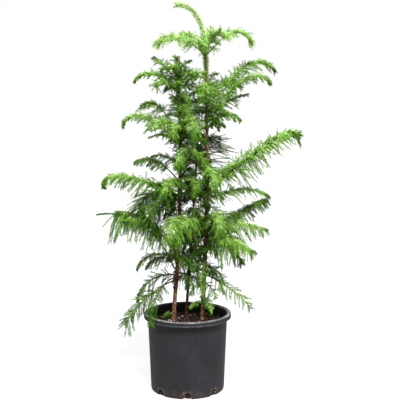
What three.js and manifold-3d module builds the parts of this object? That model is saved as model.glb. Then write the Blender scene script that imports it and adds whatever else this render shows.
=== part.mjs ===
// A Norfolk Island pine of three stems in a nursery pot, with tiers of arching and drooping boughs.
// Millimetres, +Z up, origin in the middle of the pot's flat underside, the front towards -Y.
import * as THREE from 'three';
import { mergeVertices } from 'three/addons/utils/BufferGeometryUtils.js';
import Module from 'manifold-3d';

// Clearance between neighbouring parts
const GAP = 0.3;

// Pot
const POT_HEIGHT = 215;
const RIM_RADIUS = 120;
const SHOULDER_RADIUS = 109.5;
const BASE_RADIUS = 100.5;
const WALL = 2.4;
const FLOOR = 3;
const LIP_HEIGHT = 14;
const BASE_BEVEL = 4;
const POT_SIDES = 28;

// Arched drain holes round the bottom corner of the pot
const DRAIN_COUNT = 8;
const DRAIN_WIDTH = 22;
const DRAIN_HEIGHT = 18;
const DRAIN_INNER_RADIUS = 80;

// Soil
const SOIL_LEVEL = 187;

// Stems: foot and top in plan, bow to the side at mid height, height of the top, radius at foot and top
const STEMS = {
  tall: { foot: [41, 30], top: [49, 20], bow: [8, 0], height: 925, footRadius: 6.2, topRadius: 3.2 },
  left: { foot: [-40, 30], top: [-27, 2], bow: [14, 0], height: 905, footRadius: 5.8, topRadius: 2.4 },
  middle: { foot: [-5, 76], top: [30, 68], bow: [0, 4], height: 700, footRadius: 4.2, topRadius: 2 },
};
const STEM_SIDES = 8;
const STEM_STEPS = 10;
const FLARE = 3.5;
const FLARE_HEIGHT = 12;

// Tiers of boughs on each stem. A bough leaves its stem at the tier's height (or its own), heads along
// turn (0 to the right, 90 to the back), climbs at rise and bends over by droop, the more late the more
// it bends near its tip. Reach is the length of its longest side sprays, hang pulls them down.
// Limb is the share of a bough that is a bare limb before its foliage, thin how much shorter the sprays get
// towards its tip.
const TIERS = [
  {
    stem: 'tall', tier: 'top', height: 915, reach: 35, hang: -0.3, tone: 'fresh', boughs: {
      left: { turn: 182, length: 142, rise: 47, droop: 92, late: 1.6 },
      right: { turn: 357, length: 148, rise: 48.5, droop: 140, late: 2.7, limb: 0.22 },
      front_right: { turn: 300, length: 118, rise: 64, droop: 115, late: 1.8 },
      front_left: { turn: 228, length: 120, rise: 52, droop: 90, late: 1.6 },
      back: { turn: 78, length: 142, rise: 61, droop: 100, late: 1.6 },
    },
  },
  {
    stem: 'tall', tier: 'upper', height: 742, reach: 52, hang: 0, tone: 'fresh', boughs: {
      right_high: { turn: 14, length: 268, rise: 60, droop: 126, late: 3.3, height: 748, limb: 0.2 },
      right_low: { turn: 346, length: 231, rise: 53.5, droop: 128, late: 3.8, height: 736 },
      front: { turn: 268, length: 205, rise: 76, droop: 150, late: 1.5 },
      back: { turn: 54, length: 215, rise: 72, droop: 115, late: 1.6 },
    },
  },
  {
    stem: 'tall', tier: 'hanging', height: 720, reach: 45, hang: 0.2, tone: 'mid', boughs: {
      right: { turn: 332, length: 117, rise: 54, droop: 115, late: 1.6 },
      back: { turn: 95, length: 150, rise: -10, droop: 66, late: 1, reach: 82, height: 692 },
    },
  },
  {
    stem: 'tall', tier: 'middle', height: 578, reach: 52, hang: 0.25, tone: 'fresh', boughs: {
      right: { turn: 4, length: 296, rise: 35.5, droop: 98, late: 12, reach: 68, height: 558 },
      front_left: { turn: 236, length: 198, rise: 75, droop: 160, late: 1.6, reach: 52 },
      front: { turn: 278, length: 168, rise: 38, droop: 105, late: 1.4, reach: 48 },
    },
  },
  {
    stem: 'tall', tier: 'waist', height: 524, reach: 52, hang: 0.15, tone: 'mid', boughs: {
      right: { turn: 16, length: 184, rise: 18, droop: 62, late: 2.4 },
      right_back: { turn: 34, length: 218, rise: 21.5, droop: 24, late: 9, height: 437 },
    },
  },
  {
    stem: 'tall', tier: 'lower', height: 455, reach: 78, hang: 0.35, tone: 'mid', boughs: {
      front: { turn: 286, length: 160, rise: 38, droop: 112, late: 1.4, reach: 48, height: 462 },
      right: { turn: 353, length: 166, rise: 4, droop: 26, late: 2 },
      right_front: { turn: 324, length: 156, rise: -4, droop: 26, late: 2, height: 426 },
      front_left: { turn: 238, length: 176, rise: 18, droop: 90, late: 1.4, reach: 55, height: 466 },
    },
  },
  {
    stem: 'tall', tier: 'foot', height: 362, reach: 50, hang: 0.3, tone: 'mid', boughs: {
      right_arc: { turn: 342, length: 68, rise: 0, droop: 85, late: 1, height: 336 },
      right: { turn: 335, length: 158, rise: -18, droop: 26, late: 1, height: 312, limb: 0.2 },
      front: { turn: 266, length: 150, rise: -8, droop: 78, late: 0.8, reach: 32 },
    },
  },
  {
    stem: 'left', tier: 'top', height: 836, reach: 40, hang: -0.1, tone: 'fresh', boughs: {
      left_high: { turn: 158, length: 90, rise: 46, droop: 10, late: 1, limb: 0.25, height: 848 },
      front: { turn: 262, length: 92, rise: 70, droop: 110, late: 1.6 },
      right: { turn: 322, length: 98, rise: 44, droop: 62, late: 1.5, height: 830 },
      left: { turn: 184, length: 138, rise: 47, droop: 118, late: 2.2, height: 815 },
      front_left: { turn: 230, length: 100, rise: 48, droop: 97, late: 1.5, height: 812 },
    },
  },
  {
    stem: 'left', tier: 'upper', height: 690, reach: 50, hang: 0.1, tone: 'fresh', boughs: {
      left_high: { turn: 166, length: 139, rise: 55, droop: 116, late: 4, height: 708, reach: 44 },
      left: { turn: 187, length: 192, rise: 45.3, droop: 136, late: 3.1, height: 678 },
      front_left: { turn: 231, length: 142, rise: 52, droop: 106, late: 1.6 },
      front_right: { turn: 290, length: 182, rise: 58, droop: 145, late: 1.5 },
      back: { turn: 92, length: 190, rise: 48, droop: 90, late: 1.5, height: 735 },
    },
  },
  {
    stem: 'left', tier: 'middle', height: 592, reach: 45, hang: 0.15, tone: 'mid', boughs: {
      left: { turn: 176, length: 143, rise: 49, droop: 90, late: 2.2, height: 576 },
    },
  },
  {
    stem: 'left', tier: 'waist', height: 545, reach: 40, hang: 0.2, tone: 'mid', boughs: {
      left: { turn: 185, length: 234, rise: 17.6, droop: 162, late: 7.4, reach: 48 },
      front: { turn: 256, length: 168, rise: 32, droop: 90, late: 1.5, height: 556, reach: 50 },
    },
  },
  {
    stem: 'left', tier: 'lower', height: 462, reach: 55, hang: 0.3, tone: 'deep', boughs: {
      left: { turn: 200, length: 146, rise: 36, droop: 130, late: 1.3, height: 530, hang: 0.5 },
      front: { turn: 262, length: 178, rise: 22, droop: 86, late: 1.5 },
    },
  },
  {
    stem: 'left', tier: 'skirt', height: 362, reach: 65, hang: 0.3, tone: 'mid', boughs: {
      left: {
        turn: 192, length: 228, rise: 66, droop: 72, late: 1.6, limb: 0.28, reach: 84, hang: 1, thin: 0.1,
      },
      left_short: { turn: 172, length: 98, rise: 30, droop: 95, late: 1, reach: 45, height: 352 },
    },
  },
  {
    stem: 'left', tier: 'foot', height: 306, reach: 50, hang: 0.35, tone: 'mid', boughs: {
      left: { turn: 178, length: 146, rise: 8, droop: 90, late: 1, height: 312 },
      left_front: { turn: 244, length: 195, rise: 5, droop: 88, late: 1.2, reach: 38 },
      left_low: { turn: 204, length: 186, rise: -16, droop: 42, late: 1, height: 297 },
    },
  },
  {
    stem: 'middle', tier: 'top', height: 640, reach: 52, hang: 0.1, tone: 'mid', boughs: {
      back_left: { turn: 118, length: 186, rise: 50, droop: 100, late: 1.5 },
      back_right: { turn: 64, length: 170, rise: 42, droop: 95, late: 1.5 },
    },
  },
  {
    stem: 'middle', tier: 'waist', height: 512, reach: 65, hang: 0.2, tone: 'deep', boughs: {
      back: { turn: 92, length: 205, rise: 22, droop: 70, late: 1.6 },
    },
  },
  {
    stem: 'middle', tier: 'lower', height: 405, reach: 60, hang: 0.3, tone: 'deep', boughs: {
      back_left: { turn: 110, length: 182, rise: 8, droop: 62, late: 1.4 },
      back_right: { turn: 36, length: 182, rise: 8, droop: 62, late: 1.4 },
    },
  },
  {
    stem: 'middle', tier: 'foot', height: 330, reach: 40, hang: 0.3, tone: 'deep', boughs: {
      front: { turn: 292, length: 80, rise: 14, droop: 80, late: 1 },
    },
  },
];

// The young leader that nods to the left above the tall stem
const LEADER = { turn: 180, length: 163, rise: 84, droop: 95, late: 2.25, reach: 21, hang: 0 };

// Foliage
const BOUGH_RADIUS = 2.4;
const BOUGH_TIP_RADIUS = 0.6;
const BOUGH_STEPS = 6;
const SPRAY_SPACING = 15;
const SPRAY_THICKNESS = 2.2;
const SPRAY_CREST = 0.18;
const SPRAY_ANGLE = 62;
const SPRAY_TIP_ANGLE = 38;
const SPRAY_THIN = 0.62;

const COLOURS = {
  pot: 0x2e2f31,
  soil: 0x3b2a1d,
  bark: 0x6f4a37,
  limb: 0x6d6a3a,
  fresh: 0x8fc455,
  mid: 0x5f9a38,
  deep: 0x3f6b26,
};

const RADIAN = Math.PI / 180;
const UP = new THREE.Vector3(0, 0, 1);

const wasm = await Module();
wasm.setup();

function toSolid(geometry) {
  geometry.deleteAttribute('normal');
  geometry.deleteAttribute('uv');
  const merged = mergeVertices(geometry, 1e-4);
  const triVerts = new Uint32Array(merged.index.array);
  const vertProperties = merged.attributes.position.array;
  return new wasm.Manifold(new wasm.Mesh({ numProp: 3, vertProperties, triVerts }));
}

function toGeometry(solid) {
  const mesh = solid.getMesh();
  const geometry = new THREE.BufferGeometry();
  geometry.setAttribute('position', new THREE.BufferAttribute(mesh.vertProperties, 3));
  geometry.setIndex(new THREE.BufferAttribute(mesh.triVerts, 1));
  geometry.computeVertexNormals();
  return geometry;
}

// Repeatable random numbers from 0 to 1
function seeded(seed) {
  let state = seed;
  return () => {
    state = (state * 16807) % 2147483647;
    return state / 2147483647;
  };
}

// A bar bent along a path, its radius changing on the way
function taperedBar(placeAt, radiusAt, sides, steps) {
  const geometry = new THREE.CylinderGeometry(1, 1, 1, sides, steps);
  const position = geometry.attributes.position;
  for (let i = 0; i < position.count; i += 1) {
    const t = position.getY(i) + 0.5;
    const place = placeAt(t);
    const radius = radiusAt(t);
    const vertex = place.point.clone();
    vertex.addScaledVector(place.side, position.getX(i) * radius);
    vertex.addScaledVector(place.up, position.getZ(i) * radius);
    position.setXYZ(i, vertex.x, vertex.y, vertex.z);
  }
  return geometry;
}

// Pot and soil
function revolve(profile) {
  const points = profile.map(([radius, height]) => new THREE.Vector2(radius, height));
  return new THREE.LatheGeometry(points, POT_SIDES).rotateX(Math.PI / 2);
}

function wallRadius(height) {
  return THREE.MathUtils.mapLinear(height, 0, POT_HEIGHT, BASE_RADIUS, SHOULDER_RADIUS);
}

function drainHole(index) {
  const half = DRAIN_WIDTH / 2;
  const arch = new THREE.Shape();
  arch.moveTo(-half, -5);
  arch.lineTo(half, -5);
  arch.lineTo(half, DRAIN_HEIGHT - half);
  arch.lineTo(half * 0.7, DRAIN_HEIGHT - half * 0.3);
  arch.lineTo(0, DRAIN_HEIGHT);
  arch.lineTo(-half * 0.7, DRAIN_HEIGHT - half * 0.3);
  arch.lineTo(-half, DRAIN_HEIGHT - half);
  const depth = RIM_RADIUS - DRAIN_INNER_RADIUS;
  const cutter = new THREE.ExtrudeGeometry(arch, { depth, bevelEnabled: false });
  cutter.rotateX(Math.PI / 2);
  cutter.translate(0, -DRAIN_INNER_RADIUS, 0);
  cutter.rotateZ((index * 2 * Math.PI) / DRAIN_COUNT);
  return cutter;
}

function makePot() {
  const lipBottom = POT_HEIGHT - LIP_HEIGHT;
  const profile = [
    [0, 0],
    [BASE_RADIUS - BASE_BEVEL, 0],
    [BASE_RADIUS - 1, 1.2],
    [wallRadius(BASE_BEVEL), BASE_BEVEL],
    [wallRadius(POT_HEIGHT - 4), POT_HEIGHT - 4],
    [RIM_RADIUS - 3.5, POT_HEIGHT - 4],
    [RIM_RADIUS - 2.2, lipBottom],
    [RIM_RADIUS - 0.4, lipBottom],
    [RIM_RADIUS, lipBottom + 3],
    [RIM_RADIUS - 0.6, POT_HEIGHT - 3.5],
    [RIM_RADIUS - 3.4, POT_HEIGHT - 0.4],
    [RIM_RADIUS - 6, POT_HEIGHT],
    [SHOULDER_RADIUS, POT_HEIGHT - 1],
    [wallRadius(POT_HEIGHT - 6) - WALL, POT_HEIGHT - 5],
    [wallRadius(FLOOR + 3) - WALL, FLOOR + 3],
    [BASE_RADIUS - BASE_BEVEL - 1, FLOOR],
    [0, FLOOR],
  ];
  let pot = toSolid(revolve(profile));
  for (let i = 0; i < DRAIN_COUNT; i += 1) {
    pot = pot.subtract(toSolid(drainHole(i)));
  }
  return pot;
}

function makeSoil() {
  const inset = WALL + 0.6;
  const profile = [
    [0, FLOOR + GAP],
    [BASE_RADIUS - BASE_BEVEL - 2, FLOOR + GAP],
    [wallRadius(FLOOR + 4) - inset, FLOOR + 4],
    [wallRadius(SOIL_LEVEL - 4) - inset, SOIL_LEVEL - 4],
    [wallRadius(SOIL_LEVEL) - inset - 8, SOIL_LEVEL],
    [0, SOIL_LEVEL],
  ];
  return toSolid(revolve(profile));
}

// Stems
function stemShare(stem, height) {
  const foot = SOIL_LEVEL + GAP;
  return THREE.MathUtils.clamp((height - foot) / (stem.height - foot), 0, 1);
}

function stemPoint(stem, share) {
  const sway = Math.sin(Math.PI * share);
  const x = THREE.MathUtils.lerp(stem.foot[0], stem.top[0], share) + stem.bow[0] * sway;
  const y = THREE.MathUtils.lerp(stem.foot[1], stem.top[1], share) + stem.bow[1] * sway;
  return new THREE.Vector3(x, y, THREE.MathUtils.lerp(SOIL_LEVEL + GAP, stem.height, share));
}

function stemRadius(stem, share) {
  const above = share * (stem.height - SOIL_LEVEL);
  const taper = THREE.MathUtils.lerp(stem.footRadius, stem.topRadius, share);
  return taper + FLARE * Math.exp(-above / FLARE_HEIGHT);
}

function makeStem(stem) {
  const side = new THREE.Vector3(1, 0, 0);
  const up = new THREE.Vector3(0, -1, 0);
  const placeAt = (t) => ({ point: stemPoint(stem, t ** 1.7), side, up });
  return toSolid(taperedBar(placeAt, (t) => stemRadius(stem, t ** 1.7), STEM_SIDES, STEM_STEPS));
}

// Boughs
function boughRadius(bough, share) {
  return THREE.MathUtils.lerp(bough.radius, BOUGH_TIP_RADIUS, share ** 0.8);
}

// The line of a bough as a function of the share of its length
function boughLine(bough, start) {
  const steps = 40;
  const heading = bough.turn * RADIAN;
  const side = new THREE.Vector3(Math.sin(heading), -Math.cos(heading), 0);
  const directionAt = (share) => {
    const climb = (bough.rise - bough.droop * share ** bough.late) * RADIAN;
    const flat = Math.cos(climb);
    return new THREE.Vector3(Math.cos(heading) * flat, Math.sin(heading) * flat, Math.sin(climb));
  };
  const points = [start.clone()];
  for (let i = 0; i < steps; i += 1) {
    const next = points[i].clone();
    next.addScaledVector(directionAt((i + 0.5) / steps), bough.length / steps);
    points.push(next);
  }
  return (share) => {
    const whole = Math.min(Math.floor(share * steps), steps - 1);
    const point = points[whole].clone().lerp(points[whole + 1], share * steps - whole);
    const direction = directionAt(share);
    return { point, direction, side, up: side.clone().cross(direction) };
  };
}

function listBoughs() {
  const boughs = [];
  for (const tier of TIERS) {
    for (const [place, own] of Object.entries(tier.boughs)) {
      const { boughs: siblings, ...shared } = tier;
      const name = `${tier.stem}_${tier.tier}_${place}`;
      const bough = { limb: 0, thin: SPRAY_THIN, ...shared, ...own, name };
      const stem = STEMS[bough.stem];
      const share = stemShare(stem, bough.height);
      bough.radius = Math.min(BOUGH_RADIUS, 0.012 * bough.length + 0.6);
      const away = stemRadius(stem, share) + GAP + bough.radius * Math.abs(Math.sin(bough.rise * RADIAN));
      const start = stemPoint(stem, share);
      start.x += away * Math.cos(bough.turn * RADIAN);
      start.y += away * Math.sin(bough.turn * RADIAN);
      bough.line = boughLine(bough, start);
      boughs.push(bough);
    }
  }
  const tall = STEMS.tall;
  const tip = stemPoint(tall, 1);
  tip.z += GAP;
  const leader = { ...LEADER, name: 'tall_leader', tone: 'fresh', limb: 0, thin: SPRAY_THIN };
  leader.radius = tall.topRadius;
  leader.line = boughLine(leader, tip);
  boughs.push(leader);
  return boughs;
}

// Room taken by stems, boughs and sprays, each held as a short thick line
const taken = [];

function lineGap(a, b) {
  const along = a.to.clone().sub(a.from);
  const across = b.to.clone().sub(b.from);
  const between = a.from.clone().sub(b.from);
  const aa = along.dot(along);
  const bb = across.dot(across);
  const ab = along.dot(across);
  const ar = along.dot(between);
  const br = across.dot(between);
  const spread = aa * bb - ab * ab;
  let s = spread > 1e-9 ? THREE.MathUtils.clamp((ab * br - ar * bb) / spread, 0, 1) : 0;
  const t = THREE.MathUtils.clamp((ab * s + br) / bb, 0, 1);
  s = THREE.MathUtils.clamp((ab * t - ar) / aa, 0, 1);
  const gap = between.addScaledVector(along, s).addScaledVector(across, -t);
  return gap.length() - a.radius - b.radius;
}

function takeRoom(owner, placeAt, radiusAt, pieces) {
  for (let i = 0; i < pieces; i += 1) {
    const from = placeAt(i / pieces).point;
    const to = placeAt((i + 1) / pieces).point;
    taken.push({ owner, from, to, radius: radiusAt(i / pieces) });
  }
}

function clearOfPot(point, radius) {
  const out = Math.hypot(point.x, point.y);
  const above = point.z - radius > POT_HEIGHT + 1;
  const outside = out - radius > RIM_RADIUS + 1 && point.z > 40;
  const inside = out + radius < SHOULDER_RADIUS - WALL - 3 && point.z - radius > SOIL_LEVEL + 1;
  return above || outside || inside;
}

// Sprays: toothed blades in two ranks along a bough, thickest near the root and sharp at the edge
function sprayOutline(length, width) {
  const half = width / 2;
  return [
    [0, 0],
    [half, length * 0.5],
    [half * 0.36, length * 0.56],
    [0, length],
    [-half * 0.42, length * 0.74],
    [-half, length * 0.68],
  ];
}

function sprayLength(bough, share) {
  const rise = 0.62 + 0.38 * (share / 0.35);
  const fall = 1 - bough.thin * (Math.max(share - 0.35, 0) / 0.65) ** 1.3;
  return bough.reach * Math.min(rise, fall);
}

function makeSpray(root, direction, roll, length, width) {
  const outline = sprayOutline(length, width);
  const geometry = new THREE.SphereGeometry(1, outline.length, 2);
  const position = geometry.attributes.position;
  const across = direction.clone().cross(UP).normalize();
  across.applyAxisAngle(direction, roll);
  const facing = across.clone().cross(direction);
  for (let i = 0; i < position.count; i += 1) {
    const pole = Math.sign(Math.round(position.getY(i)));
    const [x, y] = pole ? [0, length * SPRAY_CREST] : outline[(i % (outline.length + 1)) % outline.length];
    const vertex = root.clone().addScaledVector(across, x).addScaledVector(direction, y);
    vertex.addScaledVector(facing, (pole * SPRAY_THICKNESS) / 2);
    position.setXYZ(i, vertex.x, vertex.y, vertex.z);
  }
  return toSolid(geometry);
}

function makeFoliage(bough, seed) {
  const random = seeded(seed);
  const from = bough.limb;
  const clear = from > 0 ? GAP / bough.length : 0;
  const shareOf = (t) => THREE.MathUtils.lerp(from + clear, 1, t);
  const stemPlace = (t) => bough.line(shareOf(t));
  // Where a spray roots: on the straight between two rings of the stem
  const rootAt = (t) => {
    const ring = Math.min(Math.floor(t * BOUGH_STEPS), BOUGH_STEPS - 1);
    const next = stemPlace((ring + 1) / BOUGH_STEPS).point;
    return stemPlace(ring / BOUGH_STEPS).point.lerp(next, t * BOUGH_STEPS - ring);
  };
  let foliage = toSolid(taperedBar(stemPlace, (t) => boughRadius(bough, shareOf(t)), 3, BOUGH_STEPS));
  const count = Math.max(5, Math.round((bough.length * (1 - from)) / SPRAY_SPACING));
  for (let i = 0; i < count; i += 1) {
    const t = THREE.MathUtils.lerp(0.14, 0.95, i / (count - 1));
    const share = shareOf(t);
    const place = { ...bough.line(share), point: rootAt(t) };
    const rank = i % 2 ? 1 : -1;
    const lean = THREE.MathUtils.lerp(SPRAY_ANGLE, SPRAY_TIP_ANGLE, share) * RADIAN;
    const direction = place.direction.clone().multiplyScalar(Math.cos(lean));
    direction.addScaledVector(place.side, rank * Math.sin(lean));
    direction.z -= bough.hang + 0.3 * (random() - 0.5);
    direction.normalize();
    const roll = (random() - 0.5) * 1.8;
    const length = sprayLength(bough, share) * (0.9 + 0.2 * random());
    const width = THREE.MathUtils.clamp(length * 0.32, 11, 18);
    const base = place.point.clone().addScaledVector(direction, length * 0.3);
    const tip = place.point.clone().addScaledVector(direction, length);
    const room = { owner: bough.name, from: base, to: tip, radius: width / 2 };
    const free = taken.every((other) => {
      const own = other.owner === bough.name;
      return (own && other.stem) || lineGap(room, other) > (own ? -3 : 0.6);
    });
    if (free && clearOfPot(base, width / 2) && clearOfPot(tip, width / 2)) {
      taken.push(room);
      const root = place.point.clone().addScaledVector(direction, -0.5 * boughRadius(bough, share));
      foliage = foliage.add(makeSpray(root, direction, roll, length, width));
    }
  }
  return foliage;
}

function makeLimb(bough) {
  const shareOf = (t) => t * bough.limb;
  return toSolid(taperedBar((t) => bough.line(shareOf(t)), (t) => boughRadius(bough, shareOf(t)), 6, 3));
}

const group = new THREE.Group();
group.name = 'potted_pine';

function addPart(name, solid, colour, roughness) {
  const material = new THREE.MeshStandardMaterial({ color: COLOURS[colour], roughness });
  const mesh = new THREE.Mesh(toGeometry(solid), material);
  mesh.name = name;
  group.add(mesh);
}

addPart('pot', makePot(), 'pot', 0.45);
addPart('soil', makeSoil(), 'soil', 0.95);

for (const [name, stem] of Object.entries(STEMS)) {
  addPart(`stem_${name}`, makeStem(stem), 'bark', 0.8);
  takeRoom(name, (t) => ({ point: stemPoint(stem, t) }), (t) => stemRadius(stem, t), 16);
}

const boughs = listBoughs();
for (const bough of boughs) {
  takeRoom(bough.name, bough.line, (t) => boughRadius(bough, t), 12);
}
for (const room of taken) {
  room.stem = true;
}
boughs.forEach((bough, index) => {
  if (bough.limb > 0) {
    addPart(`bough_${bough.name}`, makeLimb(bough), 'limb', 0.8);
  }
  addPart(`foliage_${bough.name}`, makeFoliage(bough, 101 + 37 * index), bough.tone, 0.6);
});

export default group;
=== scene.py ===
import bpy
import math
import numpy as np
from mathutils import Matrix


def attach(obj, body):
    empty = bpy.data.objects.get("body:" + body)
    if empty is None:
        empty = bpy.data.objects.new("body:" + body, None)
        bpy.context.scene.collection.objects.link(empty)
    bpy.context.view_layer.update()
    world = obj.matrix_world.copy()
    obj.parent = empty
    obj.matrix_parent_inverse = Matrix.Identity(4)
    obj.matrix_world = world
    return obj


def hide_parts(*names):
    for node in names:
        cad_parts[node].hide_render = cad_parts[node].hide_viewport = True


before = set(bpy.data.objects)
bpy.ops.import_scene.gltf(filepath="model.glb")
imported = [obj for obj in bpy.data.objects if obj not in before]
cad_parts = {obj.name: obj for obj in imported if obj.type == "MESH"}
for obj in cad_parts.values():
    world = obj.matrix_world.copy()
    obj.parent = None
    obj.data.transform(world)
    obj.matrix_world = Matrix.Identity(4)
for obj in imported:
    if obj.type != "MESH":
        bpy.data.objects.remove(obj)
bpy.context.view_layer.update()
print("frame loaded,", len(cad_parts), "nodes")

mm = 0.001
up = np.array((0.0, 0.0, 1.0))


# Camera, light and floor

cameraSet = {
    "place": (0.0343, -2.25, 0.79),
    "downTilt": 6.75,  # degrees below level
    "focalPixels": 837,
    "frameSide": 400,  # the photograph's side in pixels
    "sensor": 36,
}

lightSet = {
    "room": 0.29,  # soft light from all round
    "backdrop": 1.0,  # how white the room looks behind the plant
    "key": {"place": (0.4, -1.35, 2.55), "aim": (0, 0, 0.6), "power": 6.8, "softness": 14},
}


def deselectAll():
    if bpy.context.object and bpy.context.object.mode != "OBJECT":
        bpy.ops.object.mode_set(mode="OBJECT")
    bpy.ops.object.select_all(action="DESELECT")


def placeCamera():
    deselectAll()
    tilt = math.radians(90 - cameraSet["downTilt"])
    bpy.ops.object.camera_add(location=cameraSet["place"], rotation=(tilt, 0, 0))
    camera = bpy.context.object
    camera.name = "photo_camera"
    camera.data.sensor_width = cameraSet["sensor"]
    camera.data.lens = cameraSet["sensor"] * cameraSet["focalPixels"] / cameraSet["frameSide"]
    camera.data.clip_end = 200
    bpy.context.scene.camera = camera


def placeKeyLight():
    light = lightSet["key"]
    deselectAll()
    bpy.ops.object.light_add(type="SUN", location=light["place"])
    lamp = bpy.context.object
    lamp.name = "key_light"
    lamp.data.energy = light["power"]
    lamp.data.angle = math.radians(light["softness"])
    aim = np.array(light["aim"]) - np.array(light["place"])
    flat = math.hypot(aim[0], aim[1])
    lamp.rotation_euler = (math.atan2(flat, -aim[2]), 0, math.atan2(-aim[0], aim[1]))


def paintWorld():
    # a white backdrop to the eye, and a gentler light on the plant
    world = bpy.data.worlds.new("studio")
    world.use_nodes = True
    nodes = world.node_tree.nodes
    links = world.node_tree.links
    seen = nodes.new("ShaderNodeLightPath")
    room = nodes["Background"]
    backdrop = nodes.new("ShaderNodeBackground")
    room.inputs["Strength"].default_value = lightSet["room"]
    backdrop.inputs["Strength"].default_value = lightSet["backdrop"]
    both = nodes.new("ShaderNodeMixShader")
    for sheet in (room, backdrop):
        sheet.inputs["Color"].default_value = (1, 1, 1, 1)
    links.new(seen.outputs["Is Camera Ray"], both.inputs["Fac"])
    links.new(room.outputs["Background"], both.inputs[1])
    links.new(backdrop.outputs["Background"], both.inputs[2])
    links.new(both.outputs["Shader"], nodes["World Output"].inputs["Surface"])
    bpy.context.scene.world = world
    bpy.context.scene.view_settings.view_transform = "Standard"


placeCamera()
paintWorld()
placeKeyLight()
print("camera and light set")


# Shader wiring

class Wire:
    def __init__(self, finish, socket):
        self.finish = finish
        self.socket = socket

    def sum(self, operation, first, second):
        return self.finish.node("ShaderNodeMath", {"operation": operation}, {0: first, 1: second})

    def __add__(self, other):
        return self.sum("ADD", self, other)

    def __radd__(self, other):
        return self.sum("ADD", other, self)

    def __sub__(self, other):
        return self.sum("SUBTRACT", self, other)

    def __rsub__(self, other):
        return self.sum("SUBTRACT", other, self)

    def __mul__(self, other):
        return self.sum("MULTIPLY", self, other)

    def __rmul__(self, other):
        return self.sum("MULTIPLY", other, self)


class Finish:
    def __init__(self, name, roughness=0.5, specular=0.4):
        self.material = bpy.data.materials.new(name)
        self.material.use_nodes = True
        self.tree = self.material.node_tree
        self.shader = self.tree.nodes["Principled BSDF"]
        self.shader.inputs["Roughness"].default_value = roughness
        self.shader.inputs["Specular IOR Level"].default_value = specular
        self.place = self.node("ShaderNodeTexCoord", output="Object")

    def node(self, kind, settings=None, sockets=None, output=0):
        node = self.tree.nodes.new(kind)
        for name, value in (settings or {}).items():
            setattr(node, name, value)
        for name, value in (sockets or {}).items():
            if isinstance(value, Wire):
                self.tree.links.new(value.socket, node.inputs[name])
            else:
                node.inputs[name].default_value = value
        return Wire(self, node.outputs[output])

    def noise(self, scale, detail=2.0, stretch=None):
        place = self.place
        if stretch:
            place = self.node("ShaderNodeMapping", {}, {"Vector": place, "Scale": stretch})
        sockets = {"Vector": place, "Scale": scale, "Detail": detail}
        return self.node("ShaderNodeTexNoise", {}, sockets)

    def band(self, value, low, high):
        sockets = {"Value": value, "From Min": low, "From Max": high}
        return self.node("ShaderNodeMapRange", {"interpolation_type": "SMOOTHSTEP"}, sockets)

    def belt(self, value, rising, falling):
        return self.band(value, *rising) * (1 - self.band(value, *falling))

    def mix(self, share, first, second):
        return self.node("ShaderNodeMix", {"data_type": "RGBA"}, {0: share, 6: first, 7: second}, output=2)

    def axis(self, name):
        return self.node("ShaderNodeSeparateXYZ", {}, {0: self.place}, output=name)

    def radius(self):
        # distance from the upright through the pot's middle
        flat = self.node("ShaderNodeVectorMath", {"operation": "MULTIPLY"}, {0: self.place, 1: (1, 1, 0)})
        return self.node("ShaderNodeVectorMath", {"operation": "LENGTH"}, {0: flat}, output="Value")

    def spin(self, count):
        # a wave that runs round the upright and peaks at the front and at each equal share of a turn
        sockets = {0: self.axis("X"), 1: self.axis("Y") * -1}
        turn = self.node("ShaderNodeMath", {"operation": "ARCTAN2"}, sockets)
        return self.node("ShaderNodeMath", {"operation": "COSINE"}, {0: turn * count})

    def feed(self, name, value):
        self.tree.links.new(value.socket, self.shader.inputs[name])

    def coat(self, colour, roughness, relief, strength, distance):
        sockets = {"Height": relief, "Strength": strength, "Distance": distance}
        self.feed("Base Color", colour)
        self.feed("Roughness", roughness)
        self.feed("Normal", self.node("ShaderNodeBump", {}, sockets))
        return self.material


# Where the pot's finish changes: heights and a radius in metres, and the number of drain arches
potMarks = {
    "topEdge": (0.2115, 0.2138),
    "lowEdge": ((0.2008, 0.2022), (0.2038, 0.2054)),
    "underLip": ((0.192, 0.1985), (0.1995, 0.2006)),
    "soiled": (0.004, 0.034),
    "archStain": (0.016, 0.027),
    "archCount": 8,
    # painted shade on the inner wall, above this height
    "innerShade": (0.175, 0.185),
    "innerShadeRadius": (0.1072, 0.1092),  # inside the wall alone
}


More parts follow.
